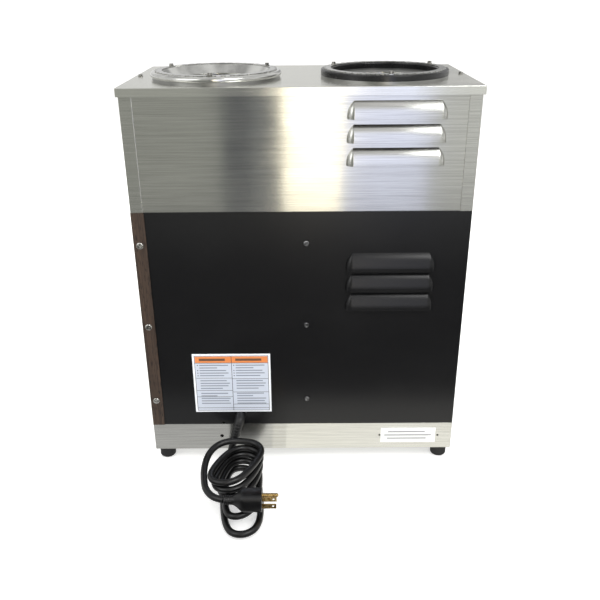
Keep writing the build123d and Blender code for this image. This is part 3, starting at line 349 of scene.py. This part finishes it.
# Cabinet wrapper: steel sheet sprayed with black enamel and baked. It is smooth and fairly
# glossy, with a faint orange peel of about 4 mm cells and a bloom of dust.
enamel, tree, shader, place = start_material("baked_black_enamel")
dust = grain(tree, place, (160, 160, 110), 2.0)
peel = grain(tree, place, (4, 4, 4), 1.0)
bloom = add_node(tree, "MapRange", {"Value": dust, "From Min": 0.45, "From Max": 0.80, "To Max": 0.10})
surface(tree, shader, blend(tree, bloom, "131314", "303030"), (dust, 0.22, 0.27), peel, 0.008, 0.6)
shader.inputs["Specular IOR Level"].default_value = 0.32
give(enamel, "body_wrapper")

# Wrapper screws: small black-oxide heads whose coating has chipped to bare metal in places.
chipped, tree, shader, place = start_material("chipped_black_screw")
flakes = grain(tree, place, (1.1, 1.1, 1.1), 2.0)
bare = add_node(tree, "MapRange", {"Value": flakes, "From Min": 0.54, "From Max": 0.57})
tree.links.new(bare.outputs[0], shader.inputs["Metallic"])
surface(tree, shader, blend(tree, bare, "131314", "D5D6D8"), (flakes, 0.28, 0.42), flakes, 0.05, 0.2)
give(chipped, "wrapper_screws")

# Side panel: steel sheet under a vinyl walnut print. Its grain stands upright, with lines
# about 1.3 mm apart that run for 60 mm and more, and short dark pores.
walnut, tree, shader, place = start_material("walnut_vinyl")
bands = grain(tree, place, (14, 14, 280))
lines = grain(tree, place, (1.3, 1.3, 60), 5.0)
pores = grain(tree, place, (1.0, 1.0, 9), 1.0)
tone = blend(tree, bands, "2C1F17", "574232")
dark_lines = add_node(tree, "MapRange", {"Value": lines, "From Min": 0.42, "From Max": 0.66, "To Max": 0.85})
tone = blend(tree, dark_lines, tone, "261A13")
dark_pores = add_node(tree, "MapRange", {"Value": pores, "From Min": 0.60, "From Max": 0.66})
tone = blend(tree, dark_pores, tone, "120C08")
surface(tree, shader, tone, (lines, 0.42, 0.55), lines, 0.03)
give(walnut, "side_access_panel")
give(worn_metal("zinc_truss_screw", "E6E5E0", "9C9A94", 0.20, 3.0), "access_panel_screws")

# Lid: one stainless pan with the same brushing, in a lighter colour than the other sheets: painted light,
# for the brighter light its top catches from above.
give(brushed_sheet("stainless_lid_painted_light", "E2E2DC", "D2D2CC", 0.22, 0.08), "top_cover")


# Rings, wells and ferrules: stainless spun on a lathe and polished, which leaves turning
# lines round each well. Real lines are 0.1 mm apart; they are drawn 1.1 mm apart to show.
def spun_steel(name, bright, dull, roughness, depth_mm=0.006):
    """Spun stainless: noise of the distance from the nearer well's axis, so that it is the same
    all the way round. That distance is the length of (|X| - well X, Y - well Y)."""
    material, tree, shader, place = start_material(name, 1.0)
    low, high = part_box("hopper_right")
    parts = add_node(tree, "SeparateXYZ", {0: place})
    mirrored = add_node(tree, "Math", {0: parts.outputs["X"]}, operation="ABSOLUTE")
    from_axis = add_node(tree, "CombineXYZ", {"X": mirrored, "Y": parts.outputs["Y"]})
    centre = ((low.x + high.x) / 2, (low.y + high.y) / 2, 0.0)
    apart = add_node(tree, "VectorMath", {0: from_axis, 1: centre}, operation="DISTANCE")
    rings_place = add_node(tree, "CombineXYZ", {"X": apart.outputs["Value"], "Z": parts.outputs["Z"]})
    rings = grain(tree, rings_place, (1.1, 1.1, 1.1))
    smears = grain(tree, place, (22, 22, 12), 4.0)
    colour = blend(tree, smears, dull, bright)
    surface(tree, shader, colour, (smears, roughness - 0.04, roughness + 0.10), rings, depth_mm, 0.3)
    return material


give(spun_steel("spun_stainless", "E2E2DE", "B4B4B0", 0.14),
     "steel_rim_ring", "hopper_left", "hopper_right", "spout_ferrules", "drip_grate")
give(spun_steel("pressed_retaining_ring", "D2D2CF", "8F8F8C", 0.20),
     "retaining_ring_left", "retaining_ring_right")
give(spun_steel("dull_steel_collar", "A9A9A6", "7E7E7B", 0.32), "well_collars")
give(moulded("moulded_black_ring", "0B0B0C", "171718", 0.24, 2.5), "black_rim_ring")
give(worn_metal("plated_hex_screw", "C4C3BD", "4E4D49", 0.30, 2.0),
     "rim_screws", "top_cover_screws", "hopper_sensors")

# Inside: mica band heaters, a glass fibre blanket round each well, nylon pump parts that
# squeeze a milky silicone tube, and grey gearmotors.
give(moulded("mica_heater_band", "7D7263", "A39781", 0.5, 3.0, 0.05), "band_heaters")
give(moulded("glass_fibre_blanket", "B9AE84", "DDD3AC", 0.9, 3.0, 0.6), "hopper_insulation")
give(moulded("white_nylon", "CFCDC5", "E4E2DB", 0.42),
     "pump_shoes", "pump_rotor_left", "pump_rotor_right", "thermostat_bodies", "terminal_block")
give(moulded("grey_motor_enamel", "4C5054", "5F6468", 0.40, 3.0), "gearmotors")
silicone = moulded("milky_silicone", "CFC8B8", "E3DDCF", 0.35)
silicone.node_tree.nodes["Principled BSDF"].inputs["Transmission Weight"].default_value = 0.3
give(silicone, "product_tubes")

# Controls: black nylon bezels and rocker frame, glossy phenolic knobs, amber push buttons
# and clear red lamp lenses.
give(moulded("black_nylon", "131314", "1E1E1F", 0.42),
     "button_bezels", "rocker_housing", "door_catches", "dispense_switches")
give(moulded("black_phenolic", "0E0E0F", "181819", 0.22),
     "thermostat_knob_left", "thermostat_knob_right", "power_rocker")
give(moulded("amber_polycarbonate", "C36D16", "D98630", 0.26),
     "dispense_button_left", "dispense_button_right")
red_lens = moulded("red_acrylic_lens", "A8140C", "C41C12", 0.12)
red_lens.node_tree.nodes["Principled BSDF"].inputs["Transmission Weight"].default_value = 0.4
give(red_lens, "indicator_lamps")


# Stickers: coated label stock, printed with an orange header, ruled frames and pale blocks
# where a real label has its text. They carry no words or symbols.
def sticker(name, node, paper, marks):
    """Label stock: marks are (left, bottom, width, height, colour) blocks drawn over the paper
    in turn, in millimetres from the corner that is lower left for someone behind the machine.
    A block's mask is 1 where the distance from its centre is under half its size both ways."""
    material, tree, shader, place = start_material(name)
    low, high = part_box(node)
    fibre = grain(tree, place, (1.5, 1.5, 1.5))
    ink = blend(tree, fibre, paper, paper)
    for left, bottom, width, height, code in marks:
        centre = (high.x - (left + width / 2) / 1000, 0.0, low.z + (bottom + height / 2) / 1000)
        per_half_size = (2000 / width, 0.0, 2000 / height)
        offset = add_node(tree, "VectorMath", {0: place, 1: centre}, operation="SUBTRACT")
        scaled = add_node(tree, "VectorMath", {0: offset, 1: per_half_size}, operation="MULTIPLY")
        reach = add_node(tree, "VectorMath", {0: scaled}, operation="ABSOLUTE")
        ways = add_node(tree, "SeparateXYZ", {0: reach})
        widest = add_node(tree, "Math", {0: ways.outputs["X"], 1: ways.outputs["Z"]}, operation="MAXIMUM")
        mask = add_node(tree, "Math", {0: widest, 1: 1.0}, operation="LESS_THAN")
        ink = blend(tree, mask, ink, code)
    surface(tree, shader, ink, (fibre, 0.30, 0.40), fibre, 0.004, 0.1)
    give(material, node)


rule, text_grey, header_brown = "2E3238", "7E8590", "6A4A36"
top_row, row_pitch, bullet = 73.0, 4.0, 1.4
row_widths = (39, 24, 36, 39, 33, 0, 36, 40, 38, 30, 0, 37, 22, 40, 38, 40)
marks = [(2.6, 2.0, 99.8, 86.4, rule), (3.3, 2.7, 98.4, 85.0, "C6CCD8"), (3.6, 77.6, 97.8, 9.6, "E08545")]
marks += [(3.3, 76.8, 98.4, 0.7, rule), (52.2, 2.7, 0.7, 85.0, rule), (3.3, 6.2, 98.4, 0.6, rule)]
for column, levels in ((3.3, (53.5, 34.0, 24.0)), (52.9, (52.5, 31.5, 12.0))):
    marks += [(column, level, 49.0, 0.6, rule) for level in levels]
for column in (9.0, 58.0):
    marks += [(column, 80.4, 35.0, 3.6, header_brown)]
    marks += [(column - 3.2, top_row - row_pitch * row, bullet, bullet, rule) for row in (0, 2, 3, 4)]
    marks += [(column, top_row - row_pitch * row, float(width), 1.5, text_grey)
              for row, width in enumerate(row_widths) if width]
sticker("rear_label_print", "rear_label", "F1F4F9", marks)
sticker("base_tag_print", "base_tag", "F6F6F4", [
    (10.0, 16.4, 52.0, 2.0, "8C8C8C"), (5.0, 11.0, 66.0, 2.0, "8C8C8C"), (9.0, 5.6, 55.0, 2.0, "8C8C8C"),
])


# Studio: a white counter, a soft white room with brighter and darker patches, and reflector
# boards behind the camera. Only polished surfaces see the boards, which stand in for the
# bright windows and grey walls that brushed steel mirrors as bands.
def board(name, across, near, far, low, high, code, glow):
    """A reflector: a strip of floor between two widths and distances, then upright at its end."""
    (left, right), (far_left, far_right) = across
    corners = [(left, near, low), (right, near, low), (far_right, far, low), (far_left, far, low),
               (far_right, far, high), (far_left, far, high)]
    mesh = bpy.data.meshes.new(name)
    mesh.from_pydata([(x, back_y + y, z) for x, y, z in corners], [], [(0, 1, 2, 3), (3, 2, 4, 5)])
    made = bpy.data.objects.new(name, mesh)
    bpy.context.scene.collection.objects.link(made)
    material = bpy.data.materials.new(name)
    material.use_nodes = True
    shader = material.node_tree.nodes["Principled BSDF"]
    shader.inputs["Base Color"].default_value = linear("000000")
    shader.inputs["Specular IOR Level"].default_value = 0.0
    shader.inputs["Emission Color"].default_value = linear(code)
    shader.inputs["Emission Strength"].default_value = glow
    mesh.materials.append(material)
    made.visible_camera = made.visible_diffuse = False
    made.visible_shadow = made.visible_transmission = False


lens_gap, near_gap, far_gap, board_foot, board_top = 0.83, 1.15, 2.6, 0.003, 2.4
for number, (left, right, code, glow) in enumerate((
    (0.094, 0.60, "D6D8D0", 0.62), (0.060, 0.094, "A2A7AF", 0.32), (0.022, 0.060, "C0C4C8", 0.42),
    (-0.046, 0.022, "FFF6E0", 3.3), (-0.150, -0.046, "DCE0F6", 1.75), (-0.60, -0.150, "E4E5E2", 1.0),
)):
    widths = [[x * (1 + gap / lens_gap) for x in (left, right)] for gap in (near_gap, far_gap)]
    board(f"reflector_{number}", widths, near_gap, far_gap, board_foot, board_top, code, glow)

# Cards that lie flat on the counter: pale ones in steps behind the base, which its low rear
# face mirrors, a dark cloth further out for the cabinet, and a grey sheen over the counter.
card_level, sheen_level = 0.002, 0.001
for number, (left, right, code, glow) in enumerate((
    (0.085, 0.30, "FFFFFF", 0.62), (0.065, 0.085, "FFFFFF", 0.74), (0.045, 0.065, "FFFEFA", 0.9),
    (0.025, 0.045, "FFFDF6", 1.1), (-0.30, 0.025, "FFFDF6", 1.35),
)):
    across = ((left, right), (left, right))
    board(f"floor_card_{number}", across, 0.005, 0.15, card_level, card_level, code, glow)
for name, half, near, far, level, code, glow in (
    ("dark_floor_cloth", 0.9, 0.17, 0.95, card_level, "6A6A6C", 0.5),
    ("grey_counter_sheen", 4.0, -5.0, 5.0, sheen_level, "D8D8D5", 0.8),
):
    board(name, ((-half, half), (-half, half)), near, far, level, level, code, glow)

floor_half, floor_level = 60, -0.0005
floor = bpy.data.meshes.new("floor")
corners = [(x * floor_half, y * floor_half, floor_level) for x, y in ((-1, -1), (1, -1), (1, 1), (-1, 1))]
floor.from_pydata(corners, [], [(0, 1, 2, 3)])
counter = bpy.data.objects.new("floor", floor)
bpy.context.scene.collection.objects.link(counter)
white = bpy.data.materials.new("white_counter")
white.use_nodes = True
white_shader = white.node_tree.nodes["Principled BSDF"]
white_shader.inputs["Base Color"].default_value = linear("F6F6F4")
white_shader.inputs["Roughness"].default_value = 0.8
white_shader.inputs["Emission Color"].default_value = linear("FFFFFF")
white_shader.inputs["Emission Strength"].default_value = 0.45
floor.materials.append(white)

world = bpy.data.worlds.new("studio")
world.use_nodes = True
room = world.node_tree
direction = add_node(room, "TexCoord").outputs["Generated"]
patches = add_node(room, "TexNoise", {"Vector": direction, "Scale": 2.4, "Detail": 1.0})
brightness = {"Value": patches, "From Min": 0.38, "From Max": 0.62, "To Min": 0.42, "To Max": 0.95}
level = add_node(room, "MapRange", brightness)
seen = add_node(room, "LightPath").outputs["Is Camera Ray"]
strength = add_node(room, "Mix", {0: seen, 2: level, 3: 1.0}, data_type="FLOAT")
room.links.new(strength.outputs[0], room.nodes["Background"].inputs["Strength"])
room.nodes["Background"].inputs["Color"].default_value = (1, 1, 1, 1)
bpy.context.scene.world = world

# Lamps: four soft discs, aimed at the middle of the machine. The one overhead and the one in
# front light it but don't show in its steel.
aim = Vector((0, 0, 0.25))
for name, place, size, power in (
    ("key", (-0.9, back_y + 1.2, 1.8), 1.0, 16), ("fill", (1.3, back_y + 1.0, 1.3), 1.4, 8),
    ("top", (0.0, 0.0, 2.0), 1.8, 12), ("front", (0.3, -1.6, 1.4), 1.6, 12),
):
    light = bpy.data.lights.new(name, "AREA")
    light.shape = "DISK"
    light.size = size
    light.energy = power
    lamp = bpy.data.objects.new(name, light)
    lamp.location = place
    lamp.visible_glossy = name in ("key", "fill")
    lamp.rotation_euler = (aim - Vector(place)).to_track_quat("-Z", "Y").to_euler()
    bpy.context.scene.collection.objects.link(lamp)
